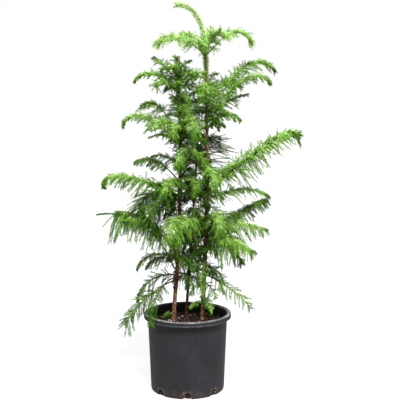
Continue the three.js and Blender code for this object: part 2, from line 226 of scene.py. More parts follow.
def potFinish():
    look = Finish("pot_plastic", roughness=0.5, specular=0.45)
    streaks = look.noise(1, 4, stretch=(120, 120, 5))
    clouds = look.noise(14, 4)
    scuffs = look.band(look.noise(1, 5, stretch=(260, 260, 60)), 0.6, 0.74)
    level = look.axis("Z")
    # breaks up the painted highlights on the rim and lip, as wear would
    wearAndSheen = look.band(look.noise(90, 4), 0.35, 0.65)
    topEdge = look.band(level, *potMarks["topEdge"])
    lowEdge = look.belt(level, *potMarks["lowEdge"])
    shaded = look.belt(level, *potMarks["underLip"])
    soiled = (1 - look.band(level, *potMarks["soiled"])) * look.band(look.noise(60, 5), 0.42, 0.68)
    grime = look.band(look.noise(170, 4), 0.38, 0.58) * (1 - look.band(level, *potMarks["archStain"]))
    arches = look.band(look.spin(potMarks["archCount"]), 0.35, 0.8) * grime
    # painted shade inside the pot: the inner wall above the soil
    innerShade = look.band(level, *potMarks["innerShade"]) * (1 - look.band(look.radius(), *potMarks["innerShadeRadius"]))
    colour = look.mix(streaks, (0.0076, 0.0078, 0.01, 1), (0.0144, 0.0147, 0.0183, 1))
    colour = look.mix(look.band(clouds, 0.42, 0.75) * 0.5, colour, (0.0254, 0.0259, 0.0316, 1))
    colour = look.mix(scuffs * 0.35, colour, (0.075, 0.077, 0.081, 1))
    # painted highlight, with some wear, along the rim's top edge
    colour = look.mix(topEdge * (0.3 + 0.6 * wearAndSheen), colour, (0.23, 0.232, 0.24, 1))
    # painted highlight, with some wear, on the lip's lower ridge
    colour = look.mix(lowEdge * wearAndSheen * 0.6, colour, (0.12, 0.122, 0.127, 1))
    colour = look.mix(shaded * 0.45, colour, (0.003, 0.003, 0.004, 1))
    colour = look.mix(soiled * 0.45, colour, (0.09, 0.056, 0.033, 1))
    colour = look.mix(arches * 0.9, colour, (0.14, 0.09, 0.058, 1))
    # painted shade: the inner wall above the soil darkened nearly to black
    colour = look.mix(innerShade * 0.94, colour, (0.0022, 0.002, 0.002, 1))
    relief = streaks * 0.5 + look.noise(240, 3) * 0.5
    return look.coat(colour, 0.36 + 0.22 * clouds + 0.12 * streaks, relief, 0.25, 0.0006)


def soilFinish():
    look = Finish("potting_soil", roughness=0.95, specular=0.2)
    grains = look.noise(420, 4)
    clods = look.noise(90, 4)
    colour = look.mix(clods, (0.005, 0.003, 0.002, 1), (0.026, 0.014, 0.009, 1))
    colour = look.mix(look.band(grains, 0.5, 0.75) * 0.5, colour, (0.07, 0.038, 0.023, 1))
    return look.coat(colour, 0.8 + 0.2 * grains, grains * 0.6 + clods * 0.4, 0.8, 0.002)


def chipFinish(name, dark, light):
    look = Finish(name, roughness=0.85, specular=0.25)
    fibres = look.noise(1, 3, stretch=(700, 140, 300))
    blotches = look.noise(150, 3)
    colour = look.mix(look.band(fibres, 0.3, 0.7), dark, light)
    colour = look.mix(look.band(blotches, 0.5, 0.7) * 0.4, colour, (0.06, 0.035, 0.022, 1))
    return look.coat(colour, 0.7 + 0.3 * blotches, fibres, 0.6, 0.0008)


def barkFinish(name, dark, mid, light):
    look = Finish(name, roughness=0.85, specular=0.25)
    flakes = look.noise(1, 4, stretch=(330, 330, 120))
    patches = look.noise(70, 3)
    scars = look.band(look.noise(1, 2, stretch=(260, 260, 420)), 0.52, 0.68)
    colour = look.mix(look.band(flakes, 0.34, 0.64), dark, mid)
    colour = look.mix(look.band(patches, 0.5, 0.64) * look.band(flakes, 0.4, 0.6) * 0.8, colour, light)
    colour = look.mix(scars * 0.5, colour, dark)
    return look.coat(colour, 0.7 + 0.25 * flakes, flakes * 0.6 + scars * 0.4, 0.7, 0.0012)


def needleFinish(name, shade, lit):
    look = Finish(name, roughness=0.5, specular=0.06)
    sprays = look.noise(38, 3)
    specks = look.noise(330, 2)
    colour = look.mix(look.band(sprays * 0.7 + specks * 0.3, 0.33, 0.66), shade, lit)
    return look.coat(colour, 0.42 + 0.3 * specks, specks, 0.15, 0.0003)


finishes = {
    "pot": potFinish(),
    "soil": soilFinish(),
    "brownChip": chipFinish("bark_chip_brown", (0.008, 0.004, 0.003, 1), (0.06, 0.03, 0.018, 1)),
    "tanChip": chipFinish("bark_chip_tan", (0.18, 0.115, 0.075, 1), (0.52, 0.42, 0.33, 1)),
    "bark": barkFinish("stem_bark", (0.05, 0.02, 0.012, 1), (0.22, 0.095, 0.052, 1), (0.46, 0.25, 0.14, 1)),
    "bough": barkFinish("bough_bark", (0.07, 0.072, 0.022, 1), (0.15, 0.17, 0.05, 1), (0.24, 0.2, 0.1, 1)),
    "twig": barkFinish("twig_rind", (0.05, 0.085, 0.018, 1), (0.1, 0.17, 0.036, 1), (0.17, 0.2, 0.07, 1)),
    "youngTwig": barkFinish("young_rind", (0.2, 0.3, 0.06, 1), (0.4, 0.55, 0.15, 1), (0.52, 0.66, 0.22, 1)),
    "bright": needleFinish("needles_bright", (0.46, 0.76, 0.2, 1), (0.62, 0.88, 0.35, 1)),
    "fresh": needleFinish("needles_fresh", (0.19, 0.44, 0.033, 1), (0.39, 0.69, 0.105, 1)),
    "mid": needleFinish("needles_mid", (0.105, 0.285, 0.018, 1), (0.24, 0.49, 0.05, 1)),
    "deep": needleFinish("needles_deep", (0.03, 0.1, 0.006, 1), (0.085, 0.23, 0.017, 1)),
}
print("finishes mixed")


def settle(piece, nodes, finish):
    piece.data.materials.clear()
    piece.data.materials.append(finish)
    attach(piece, "root")
    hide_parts(*nodes)


def pick(piece):
    deselectAll()
    piece.select_set(True)
    bpy.context.view_layer.objects.active = piece


def applyAll(piece):
    pick(piece)
    for modifier in list(piece.modifiers):
        bpy.ops.object.modifier_apply(modifier=modifier.name)


def addRelief(piece, name, kind, size, depth):
    pattern = bpy.data.textures.new(name, kind)
    pattern.noise_scale = size
    relief = piece.modifiers.new(name, "DISPLACE")
    relief.texture = pattern
    relief.texture_coords = "LOCAL"
    relief.strength = depth * mm
    relief.mid_level = 0.5
    return relief


floorPaper = {
    "size": 60,
    "glow": 0.91,  # white to the eye
    "shade": 0.16,  # what the plant's shadow takes away
    "bounce": 0.3,  # a gentler light on the plant, as the backdrop gives
}


def layFloor():
    deselectAll()
    bpy.ops.mesh.primitive_plane_add(size=floorPaper["size"], location=(0, 0, 0))
    floor = bpy.context.object
    floor.name = "studio_floor"
    look = Finish("floor_paper", roughness=0.9, specular=0.1)
    look.shader.inputs["Base Color"].default_value = (*[floorPaper["shade"]] * 3, 1)
    look.shader.inputs["Emission Color"].default_value = (1, 1, 1, 1)
    look.shader.inputs["Emission Strength"].default_value = floorPaper["glow"]
    seen = look.node("ShaderNodeLightPath", output="Is Camera Ray")
    dim = look.node("ShaderNodeBsdfDiffuse", {}, {"Color": (*[floorPaper["bounce"]] * 3, 1)})
    shown = Wire(look, look.shader.outputs[0])
    both = look.node("ShaderNodeMixShader", {}, {0: seen, 1: dim, 2: shown})
    look.tree.links.new(both.socket, look.tree.nodes["Material Output"].inputs["Surface"])
    floor.data.materials.append(look.material)


layFloor()


# Pot: a ring extruded upwards along its profile, then drain arches cut through its bottom corner

pot = {
    "height": 215,
    "rimRadius": 120,
    "shoulderRadius": 109.5,
    "baseRadius": 100.5,
    "wall": 2.4,
    "floor": 3,
    "lipHeight": 14,
    "middle": 4,  # the small ring that closes a turned shape
    "sides": 112,
    "drainCount": potMarks["archCount"],
    "drainWidth": 22,
    "drainHeight": 18,
    "drainInnerRadius": 80,
    "drainDrop": 6,  # how far the cutter goes below the floor
    "edgeRound": 0.5,
}


def wallRadius(height):
    return pot["baseRadius"] + (pot["shoulderRadius"] - pot["baseRadius"]) * height / pot["height"]


def turnedShell(name, profile, sides):
    # a small ring under the middle, drawn out along the profile and closed at both ends
    deselectAll()
    radius, level = profile[0]
    bpy.ops.mesh.primitive_circle_add(vertices=sides, radius=radius * mm, location=(0, 0, level * mm))
    piece = bpy.context.object
    piece.name = name
    bpy.ops.object.transform_apply(location=True, rotation=True, scale=True)
    bpy.ops.object.mode_set(mode="EDIT")
    bpy.ops.mesh.select_all(action="SELECT")
    bpy.ops.mesh.edge_face_add()
    bpy.ops.mesh.select_mode(type="EDGE")
    bpy.ops.mesh.select_all(action="SELECT")
    for (fromRadius, fromLevel), (toRadius, toLevel) in zip(profile, profile[1:]):
        bpy.ops.mesh.extrude_edges_move(TRANSFORM_OT_translate={"value": (0, 0, (toLevel - fromLevel) * mm)})
        grow = toRadius / fromRadius
        bpy.ops.transform.resize(value=(grow, grow, 1), center_override=(0, 0, toLevel * mm))
    bpy.ops.mesh.edge_face_add()
    bpy.ops.mesh.select_all(action="SELECT")
    bpy.ops.mesh.normals_make_consistent(inside=False)
    bpy.ops.object.mode_set(mode="OBJECT")
    return piece


def drainCutter():
    # one arch: a lying cylinder whose lower half is drawn down past the floor, then seven turned copies
    half = pot["drainWidth"] / 2
    middle = (pot["drainInnerRadius"] + pot["rimRadius"]) / 2
    depth = pot["rimRadius"] - pot["drainInnerRadius"]
    centre = pot["drainHeight"] - half
    deselectAll()
    bpy.ops.mesh.primitive_cylinder_add(
        vertices=32, radius=half * mm, depth=depth * mm,
        location=(0, -middle * mm, centre * mm), rotation=(math.pi / 2, 0, 0))
    cutter = bpy.context.object
    cutter.name = "drain_cutter"
    bpy.ops.object.transform_apply(location=True, rotation=True, scale=True)
    for vertex in cutter.data.vertices:
        if vertex.co.z < centre * mm - 1e-6:
            vertex.co.z = -pot["drainDrop"] * mm
    bpy.ops.object.mode_set(mode="EDIT")
    bpy.ops.mesh.select_all(action="SELECT")
    for _ in range(pot["drainCount"] - 1):
        bpy.ops.mesh.duplicate()
        bpy.ops.transform.rotate(
            value=2 * math.pi / pot["drainCount"], orient_axis="Z", center_override=(0, 0, 0))
    bpy.ops.object.mode_set(mode="OBJECT")
    return cutter


def makePot():
    rim = pot["rimRadius"]
    top = pot["height"]
    lip = top - pot["lipHeight"]
    wall = pot["wall"]
    floor = pot["floor"]
    base = pot["baseRadius"]
    # radius and height of each bend: underside, outer wall, hanging lip, its groove, rolled edge, inner wall
    profile = [(pot["middle"], 0), (base - 14, 0), (base - 5, 0), (base - 2.2, 0.5), (base - 0.7, 1.7)]
    profile += [(base + 0.1, 4), (wallRadius(8) + 0.2, 8)]
    profile += [(wallRadius(h), h) for h in (60, 130, lip - 8, top - 5)]
    profile += [(rim - 6.5, top - 4), (rim - 3.6, top - 5), (rim - 2.6, lip + 2), (rim - 2.2, lip + 0.4)]
    profile += [(rim - 1.3, lip), (rim - 0.4, lip + 0.6), (rim, lip + 2.2), (rim - 0.1, lip + 4.2)]
    profile += [(rim - 0.9, lip + 5.4), (rim - 0.9, lip + 6.6), (rim - 0.3, lip + 7.8)]
    profile += [(rim - 0.4, top - 3.6), (rim - 1.4, top - 1.6), (rim - 3.2, top - 0.4), (rim - 5.4, top)]
    profile += [(rim - 8, top - 0.3), (rim - 10.2, top - 1.5), (wallRadius(top - 4) - 1.2, top - 3.6)]
    profile += [(wallRadius(h) - wall, h) for h in (top - 8, 120, floor + 6)]
    profile += [(base - wall - 1.4, floor + 1.6), (base - wall - 4, floor), (pot["middle"], floor)]
    piece = turnedShell("pot_shell", profile, pot["sides"])
    cutter = drainCutter()
    cut = piece.modifiers.new("drains", "BOOLEAN")
    cut.operation = "DIFFERENCE"
    cut.solver = "EXACT"
    cut.object = cutter
    bevel = piece.modifiers.new("edges", "BEVEL")
    bevel.width = pot["edgeRound"] * mm
    bevel.segments = 2
    bevel.limit_method = "ANGLE"
    bevel.angle_limit = math.radians(50)
    applyAll(piece)
    bpy.data.objects.remove(cutter, do_unlink=True)
    bpy.ops.object.shade_smooth_by_angle(angle=math.radians(40))
    settle(piece, ["pot"], finishes["pot"])


makePot()
print("pot made")


# Soil: a filled pot shape with a lumpy top, and chips of bark lying on it

soil = {
    "level": 187,
    "inset": 3.0,
    "sides": 96,
    "rings": 26,
    "lump": 7,
    "clodSize": 0.016,
}


def makeSoil():
    level = soil["level"]
    edge = wallRadius(level) - soil["inset"]
    foot = pot["floor"] + 0.3
    middle = pot["middle"]
    profile = [(middle, foot), (pot["baseRadius"] - 6, foot)]
    profile += [(wallRadius(h) - soil["inset"], h) for h in (foot + 4, 14, 22, 60, 120, level - 6)]
    profile += [(edge - (edge - middle) * i / soil["rings"], level - 1) for i in range(soil["rings"] + 1)]
    piece = turnedShell("soil_fill", profile, soil["sides"])
    top = piece.vertex_groups.new(name="top")
    inner = (edge - 1) * mm
    shown = [v.index for v in piece.data.vertices if v.co.z > (level - 3) * mm and v.co.xy.length < inner]
    top.add(shown, 1.0, "REPLACE")
    clods = addRelief(piece, "clods", "CLOUDS", soil["clodSize"], soil["lump"])
    clods.texture.noise_depth = 3
    clods.direction = "Z"
    clods.vertex_group = "top"
    applyAll(piece)
    bpy.ops.object.shade_smooth_by_angle(angle=math.radians(60))
    settle(piece, ["soil"], finishes["soil"])


# Chips lie on the soil, and crumbs of the same bark are lodged in the drain arches
chips = {
    "kinds": {
        "brown": {"count": 360, "longest": 15, "crumbs": 84, "finish": "brownChip"},
        "tan": {"count": 70, "longest": 9, "crumbs": 8, "finish": "tanChip"},
    },
    "edgeGap": 8,
    "lift": (-0.5, 3.5),
    "shortest": 4,
    "width": (0.25, 0.6),  # share of the length
    "thickness": (1.2, 3),
    "tilt": 0.3,
    "ragged": 0.16,
    "crumbSize": (1.8, 3.6),
    "crumbLevel": (2.8, 15),
    "crumbDepth": (2.4, 6),  # behind the pot's foot
    "crumbArc": 0.098,
    "seed": 7,
}


def meshFromArrays(name, vertices, faces):
    mesh = bpy.data.meshes.new(name)
    mesh.vertices.add(len(vertices))
    mesh.vertices.foreach_set("co", np.asarray(vertices, dtype=np.float32).ravel() * mm)
    mesh.loops.add(faces.size)
    mesh.loops.foreach_set("vertex_index", faces.astype(np.int32).ravel())
    mesh.polygons.add(len(faces))
    mesh.polygons.foreach_set("loop_start", np.arange(0, faces.size, faces.shape[1], dtype=np.int32))
    mesh.update(calc_edges=True)
    mesh.validate()
    piece = bpy.data.objects.new(name, mesh)
    bpy.context.scene.collection.objects.link(piece)
    return piece


def turnMatrices(rng, count, tilt):
    # random turns about the upright, each then tipped over a little
    spin = rng.uniform(0, 2 * np.pi, count)
    tip = rng.normal(0, tilt, count)
    lean = rng.normal(0, tilt, count)
    along = np.stack([np.cos(spin) * np.cos(tip), np.sin(spin) * np.cos(tip), np.sin(tip)], 1)
    across = np.stack([-np.sin(spin), np.cos(spin), np.sin(lean)], 1)
    across -= along * (along * across).sum(1, keepdims=True)
    across /= np.linalg.norm(across, axis=1, keepdims=True)
    return along, across, np.cross(along, across)


def chipMesh(name, centres, sizes, rng):
    # split-wood slivers: boxes with every corner pushed about
    count = len(centres)
    along, across, above = turnMatrices(rng, count, chips["tilt"])
    corners = np.array([(x, y, z) for z in (-0.5, 0.5) for y in (-0.5, 0.5) for x in (-0.5, 0.5)])
    local = corners[None] + rng.uniform(-chips["ragged"], chips["ragged"], (count, 8, 3))
    local[:, :, 1] *= 1 - 0.5 * np.abs(local[:, :, 0])
    local *= sizes[:, None, :]
    axes = np.stack([along, across, above], 1)
    vertices = (centres[:, None] + local @ axes).reshape(-1, 3)
    box = np.array([(0, 2, 3, 1), (4, 5, 7, 6), (0, 1, 5, 4), (2, 6, 7, 3), (0, 4, 6, 2), (1, 3, 7, 5)])
    faces = (box[None] + 8 * np.arange(count)[:, None, None]).reshape(-1, 4)
    return meshFromArrays(name, vertices, faces)


def scatterChips():
    rng = np.random.default_rng(chips["seed"])
    arches = pot["drainCount"]
    for kind, own in chips["kinds"].items():
        count = own["count"]
        radius = (wallRadius(soil["level"]) - chips["edgeGap"]) * np.sqrt(rng.uniform(0, 1, count))
        turn = rng.uniform(0, 2 * np.pi, count)
        lift = rng.uniform(*chips["lift"], count)
        lying = np.stack([radius * np.cos(turn), radius * np.sin(turn), soil["level"] + lift], 1)
        length = rng.uniform(chips["shortest"], own["longest"], count)
        width = length * rng.uniform(*chips["width"], count)
        sizes = np.stack([length, width, rng.uniform(*chips["thickness"], count)], 1)
        lodged = arches * own["crumbs"]
        around = np.repeat(np.arange(arches), own["crumbs"]) * 2 * np.pi / arches
        around = around + rng.uniform(-chips["crumbArc"], chips["crumbArc"], lodged)
        out = pot["baseRadius"] - rng.uniform(*chips["crumbDepth"], lodged)
        level = rng.uniform(*chips["crumbLevel"], lodged)
        crumbs = np.stack([out * np.sin(around), -out * np.cos(around), level], 1)
        crumbSizes = rng.uniform(*chips["crumbSize"], (lodged, 3))
        centres = np.concatenate([lying, crumbs])
        piece = chipMesh("bark_chips_" + kind, centres, np.concatenate([sizes, crumbSizes]), rng)
        settle(piece, ["soil"], finishes[own["finish"]])


makeSoil()
scatterChips()
print("soil made")


# Stems: bars along the stems' lines, with swollen whorls and flaking bark

stems = {
    "tall": dict(foot=(41, 30), top=(49, 20), bow=(8, 0), height=925, footRadius=6.2, topRadius=3.2),
    "left": dict(foot=(-40, 30), top=(-27, 2), bow=(14, 0), height=905, footRadius=5.8, topRadius=2.4),
    "middle": dict(foot=(-5, 76), top=(30, 68), bow=(0, 4), height=700, footRadius=4.2, topRadius=2),
}

stemBark = {
    "footLevel": 187.3,
    "sunk": 3,  # set a little into the soil
    "sides": 16,
    "flare": 1.6,
    "flareHeight": 12,
    "ringStep": 1.6,
    "scalesFrom": 195,  # dry scales from here up to the green part
    "whorlSwell": 0.9,
    "whorlSpread": 5,
    "flake": 1.1,
    "flakeSize": 0.006,
    "grain": 0.7,
    "grainSize": 0.0025,
}


# Boughs

# A bough heads along turn (0 right, 90 back), is so long, climbs at rise and bends over by droop. The larger
# late is, the nearer to its tip it bends.
def newBough(turn, length, rise, droop, late, **own):
    return {"turn": turn, "length": length, "rise": rise, "droop": droop, "late": late, **own}


# Tiers of boughs, from the top of each stem down. Height is where a bough leaves its stem, reach the length
# of its longest shoots, hang pulls them down, and limb is the bare share before them. Lift is the angle at
# which the two ranks of shoots stand up from the bough, and lean the one at which they leave it. Spacing,
# shortShare, thin, crest, roll and sag take the place of the foliage's own values. Kind and fringe name the
# needles on the bough and on its long shoots, and tone is the green that they start from. Small boughs close
# gaps, and inner counts the short ones that fill the whorl, over innerArc (from, span) or all round.
tiers = [
    dict(
        stem="tall", tier="top", height=915, reach=37, hang=0, lift=40, tone="bright", spacing=0.8,
        thin=0.35, kind="soft", shortShare=0.5, roll=36, sag=1.1, inner=2, innerArc=(60, 150),
        innerLength=(40, 60), innerRise=(40, 60),
        boughs=dict(
            left=newBough(182, 142, 47, 92, 1.6, thin=0.4, limb=0.2, crest=0.9),
            right=newBough(357, 148, 48.5, 140, 2.7, limb=0.38, thin=0.3, roll=-34, hang=0.2),
            frontRight=newBough(300, 118, 64, 115, 1.8, limb=0.25),
            frontLeft=newBough(228, 120, 52, 90, 1.6),
            back=newBough(78, 142, 61, 100, 1.6),
        )),
    dict(
        stem="tall", tier="upper", height=742, reach=52, hang=0, lift=18, tone="fresh", inner=7,
        boughs=dict(
            rightHigh=newBough(14, 268, 60, 126, 3.3, height=748, limb=0.32, hang=0.2, thin=0.55,
                crest=0.65, spacing=1.0, reach=48),
            rightLow=newBough(346, 231, 53.5, 128, 3.8, height=736, hang=0.3, thin=0.85, reach=64,
                spacing=1.2),
            front=newBough(268, 205, 76, 150, 1.5, thin=0.35),
            back=newBough(54, 215, 72, 115, 1.6, thin=0.5, reach=40),
        ),
        small=dict(
            backNear=newBough(66, 84, 64, 60, 1.2, reach=34, height=818, tone="mid", spacing=2),
            rightUnder=newBough(8, 118, 38, 26, 1, reach=46, height=758, tone="mid", spacing=1.6,
                limb=0.2),
            leftHigh=newBough(200, 58, 30, 90, 1.2, reach=34, height=848, spacing=1.1),
            leftMid=newBough(214, 62, 20, 85, 1.2, reach=34, height=812),
            leftNear=newBough(210, 74, 12, 80, 1.2, reach=38, height=758),
            leftLow=newBough(200, 58, 14, 75, 1.2, reach=34, height=788),
        )),
    dict(
        stem="tall", tier="hanging", height=720, reach=45, hang=0.2, lift=5, tone="mid", inner=0,
        boughs=dict(
            right=newBough(332, 117, 54, 115, 1.6, thin=0.7, hang=0.7, reach=34, spacing=1.1, tone="fresh"),
            back=newBough(95, 150, -10, 66, 1, reach=84, height=692, spacing=2.0, shortShare=0.1, thin=-0.3,
                hang=0, sag=0.1, roll=0, lean=88, kind="young"),
        ),
        small=dict(
            rightNear=newBough(340, 52, 32, 80, 1.3, reach=20, height=722),
        )),
    dict(
        stem="tall", tier="middle", height=578, reach=52, hang=0.25, lift=14, tone="fresh", inner=6,
        innerArc=(60, 240),
        boughs=dict(
            right=newBough(4, 296, 35.5, 98, 12, height=558, reach=68, crest=0.6, thin=0.45, limb=0.1,
                hang=0.4, spacing=0.75, roll=-52, shortShare=0.6, kind="brush", fringe="young"),
            frontLeft=newBough(236, 198, 75, 160, 1.6, thin=0.5, spacing=1.1, kind="brush"),
            front=newBough(278, 168, 38, 105, 1.4, reach=48, thin=0.35),
        ),
        small=dict(
            rightOver=newBough(350, 112, 42, 20, 1, reach=28, height=572),
            frontNear=newBough(250, 118, 32, 108, 1.4, reach=44, height=560, tone="mid"),
        )),
    dict(
        stem="tall", tier="waist", height=524, reach=52, hang=0.15, lift=14, tone="mid", inner=5,
        innerLength=(40, 68), innerRise=(5, 50), innerTone="mid",
        boughs=dict(
            right=newBough(16, 184, 18, 62, 2.4, thin=0.5, hang=0.4, reach=50, spacing=0.9, tone="fresh",
                crest=0.4, shortShare=0.62, fringe="fine"),
            rightBack=newBough(34, 218, 21.5, 24, 9, height=437, thin=0.6, hang=0.5, reach=60, spacing=1.1,
                kind="brush", crest=0.25, roll=-60),
        ),
        small=dict(
            front=newBough(272, 86, 14, 88, 1.3, reach=40, height=540),
        )),
    dict(
        stem="tall", tier="lower", height=455, reach=78, hang=0.35, lift=8, tone="mid", inner=8,
        boughs=dict(
            front=newBough(286, 160, 38, 112, 1.4, reach=48, height=462, tone="fresh", thin=0.35),
            right=newBough(353, 166, 4, 26, 2, tone="fresh", thin=0.75, hang=0.55, crest=0.3, reach=80,
                spacing=1.1),
            rightFront=newBough(324, 156, -4, 26, 2, height=426, tone="fresh", thin=0.7, hang=0.6,
                crest=0.6, reach=84),
            frontLeft=newBough(238, 176, 18, 90, 1.4, reach=55, height=466, tone="fresh", thin=0.35),
        ),
        small=dict(
            rightMid=newBough(340, 122, -4, 40, 1.2, reach=60, height=436, tone="fresh", hang=0.5),
            frontUnder=newBough(300, 62, -8, 40, 1.2, reach=40, height=404),
            leftUnder=newBough(205, 56, 0, 60, 1.2, reach=34, height=376, spacing=1.1),
            rightUnder=newBough(338, 122, -6, 52, 1.2, reach=72, height=408),
        )),
    dict(
        stem="tall", tier="foot", height=362, reach=50, hang=0.1, lift=4, tone="mid", spacing=4.2,
        kind="brush", shortShare=0.15, sag=0.4, inner=4,
        boughs=dict(
            rightArc=newBough(342, 68, 0, 85, 1, height=336),
            right=newBough(335, 158, -18, 26, 1, height=312, limb=0.2, spacing=4.4, thin=0.2, reach=42),
            front=newBough(266, 150, -8, 78, 0.8, reach=32),
        ),
        small=dict(
            rightNear=newBough(322, 86, -10, 60, 1, reach=40, height=320),
            rightLow=newBough(310, 60, -14, 48, 1, reach=34, height=290),
            leftNear=newBough(205, 50, -10, 60, 1, reach=30, height=290),
            rightIn=newBough(305, 50, 8, 70, 1, reach=32, height=344),
            sprig=newBough(300, 56, -6, 80, 1, reach=22, height=247, tone="fresh", spacing=2.2),
            sprigLeft=newBough(212, 42, 2, 50, 1, reach=15, height=238, tone="fresh", spacing=2.2),
        )),
    dict(
        stem="left", tier="tip", height=864, reach=30, hang=0, lift=25, tone="fresh", inner=6,
        innerLength=(18, 32), innerRise=(50, 78), innerDroop=(5, 30),
        boughs={},
        small=dict(
            right=newBough(15, 46, 66, 50, 1.2, reach=24, height=866),
        )),
    dict(
        stem="left", tier="top", height=836, reach=40, hang=0, lift=24, tone="fresh", inner=8,
        innerLength=(40, 66), innerRise=(18, 58),
        boughs=dict(
            leftHigh=newBough(158, 90, 46, 10, 1, limb=0.25, height=848),
            front=newBough(262, 92, 70, 110, 1.6, thin=0.4),
            right=newBough(322, 98, 44, 62, 1.5, height=830),
            left=newBough(184, 138, 47, 118, 2.2, height=815, kind="brush"),
            frontLeft=newBough(230, 100, 48, 97, 1.5, height=812, thin=0.4, hang=0.1),
        )),
    dict(
        stem="left", tier="neck", height=765, reach=40, hang=0.1, lift=16, tone="mid", inner=6,
        innerArc=(-110, 250), innerLength=(30, 60),
        boughs={},
        small=dict(
            left=newBough(192, 60, 30, 60, 1.2, reach=28, height=826),
            rightFront=newBough(305, 60, 12, 80, 1.2, reach=32, height=806),
            leftLow=newBough(188, 52, 20, 70, 1.2, reach=28, height=750),
        )),
    dict(
        stem="left", tier="upper", height=690, reach=50, hang=0.1, lift=18, tone="fresh", inner=8,
        innerArc=(-100, 230), innerLength=(40, 76), innerRise=(10, 60),
        boughs=dict(
            leftHigh=newBough(166, 139, 55, 116, 4, height=708, reach=42, thin=0.35, kind="brush",
                spacing=1.1, limb=0.45, hang=0.35, crest=0.2),
            left=newBough(187, 192, 45.3, 136, 3.1, height=678, kind="brush", hang=0.2, crest=0.8,
                reach=45),
            frontLeft=newBough(231, 142, 52, 106, 1.6, thin=0.4),
            frontRight=newBough(290, 182, 58, 145, 1.5, thin=0.35),
            back=newBough(92, 190, 48, 90, 1.5, height=735),
        ),
        small=dict(
            leftUnder=newBough(196, 88, 32, 62, 1.4, reach=20, height=682, tone="mid"),
            rightNear=newBough(338, 72, 30, 85, 1.2, reach=36, height=822),
            rightLow=newBough(345, 70, 24, 85, 1.2, reach=34, height=776),
            frontHigh=newBough(284, 104, 46, 120, 1.4, reach=42, height=752, thin=0.4, tone="mid"),
            frontNear=newBough(262, 128, 50, 125, 1.4, reach=46, height=696, thin=0.4),
            frontUnder=newBough(274, 100, 26, 100, 1.3, reach=44, height=640, thin=0.4, tone="mid"),
        )),
    dict(
        stem="left", tier="middle", height=592, reach=45, hang=0.15, lift=16, tone="mid", inner=5,
        innerArc=(-95, 200), innerLength=(30, 54), innerTone="mid",
        boughs=dict(
            left=newBough(176, 143, 49, 90, 2.2, height=576, kind="brush", hang=0.55, limb=0.28, reach=40,
                crest=0.3, spacing=1.0, thin=0.6),
        ),
        small=dict(
            leftFine=newBough(155, 92, 36, 62, 1.6, reach=28, height=618, crest=0.9, tone="fresh"),
            leftLow=newBough(186, 84, 20, 40, 1.2, reach=36, height=558),
        )),
    dict(
        stem="left", tier="waist", height=545, reach=40, hang=0.2, lift=16, tone="mid", inner=7,
        innerArc=(-130, 290), innerRise=(-8, 30), innerTone="mid",
        boughs=dict(
            left=newBough(185, 234, 17.6, 162, 7.4, kind="brush", tone="fresh", spacing=1.0, reach=68,
                hang=0.4, crest=0.42),
            front=newBough(256, 168, 32, 90, 1.5, height=556, reach=50, thin=0.4, tone="fresh"),
        ),
        small=dict(
            frontRight=newBough(300, 88, 26, 100, 1.3, height=582, tone="fresh"),
        )),
    dict(
        stem="left", tier="lower", height=462, reach=55, hang=0.3, lift=10, tone="deep", inner=8,
        boughs=dict(
            left=newBough(200, 146, 36, 130, 1.3, height=530, hang=0.35, roll=75, thin=0.15, crest=1,
                shortShare=0.25, spacing=1.1, kind="young", reach=60),
            front=newBough(262, 178, 22, 86, 1.5, thin=0.35, tone="fresh"),
        ),
        small=dict(
            leftNear=newBough(216, 124, 16, 105, 1.3, height=520, hang=0.35, roll=60, thin=0.15, crest=1,
                shortShare=0.25, spacing=1.1, kind="young"),
        )),
    dict(
        stem="left", tier="skirt", height=362, reach=65, hang=0.3, lift=8, tone="mid", inner=2,
        innerArc=(280, 180),
        boughs=dict(
            left=newBough(192, 228, 66, 72, 1.6, limb=0.28, reach=76, hang=1.1, sag=1.4, lean=66,
                thin=-0.25, tone="fresh", kind="brush", roll=20, crest=0.9, spacing=1.1),
            leftShort=newBough(172, 98, 30, 95, 1, reach=45, height=352),
        ),
        small=dict(
            leftNear=newBough(206, 196, 66, 82, 1.6, reach=40, hang=0.6, height=372, limb=0.35, thin=0.2,
                tone="fresh", kind="brush"),
            leftFar=newBough(178, 186, 64, 88, 1.6, reach=50, hang=0.5, height=380, limb=0.35, thin=0.2),
            leftDrop=newBough(180, 128, 8, 88, 2, reach=36, height=366),
            leftWhip=newBough(192, 288, 66, 79, 1.6, reach=10, height=331, limb=0.66),
        )),
    dict(
        stem="left", tier="foot", height=306, reach=50, hang=0.1, lift=2, tone="mid", spacing=4.2,
        kind="brush", shortShare=0.15, sag=0.4, inner=0,
        boughs=dict(
            left=newBough(178, 146, 8, 90, 1, height=312, tone="deep", spacing=3.4),
            leftFront=newBough(244, 195, 5, 88, 1.2, reach=28, spacing=3, thin=0.3, limb=0.33,
                tone="deep"),
            leftLow=newBough(204, 186, -16, 42, 1, height=297, thin=0, reach=46, spacing=2.2, limb=0.3,
                tone="deep"),
        ),
        small=dict(
            right=newBough(332, 70, -4, 76, 1, height=321, reach=34, tone="deep"),
            sprout=newBough(205, 28, 10, 60, 1, height=204, reach=12),
            rightHigh=newBough(320, 70, 0, 70, 1, height=368, reach=36, tone="deep"),
        )),
    dict(
        stem="middle", tier="top", height=640, reach=52, hang=0.1, lift=12, tone="mid", spacing=1.9,
        inner=6, innerArc=(-70, 230),
        boughs=dict(
            backLeft=newBough(118, 186, 50, 100, 1.5),
            backRight=newBough(64, 170, 42, 95, 1.5, spacing=6, kind="fine"),
        )),
    dict(
        stem="middle", tier="waist", height=512, reach=65, hang=0.2, lift=10, tone="deep", spacing=1.9,
        inner=5, innerLength=(34, 60),
        boughs=dict(
            back=newBough(92, 205, 22, 70, 1.6),
        )),
    dict(
        stem="middle", tier="lower", height=405, reach=60, hang=0.3, lift=8, tone="deep", spacing=1.9,
        inner=7,
        boughs=dict(
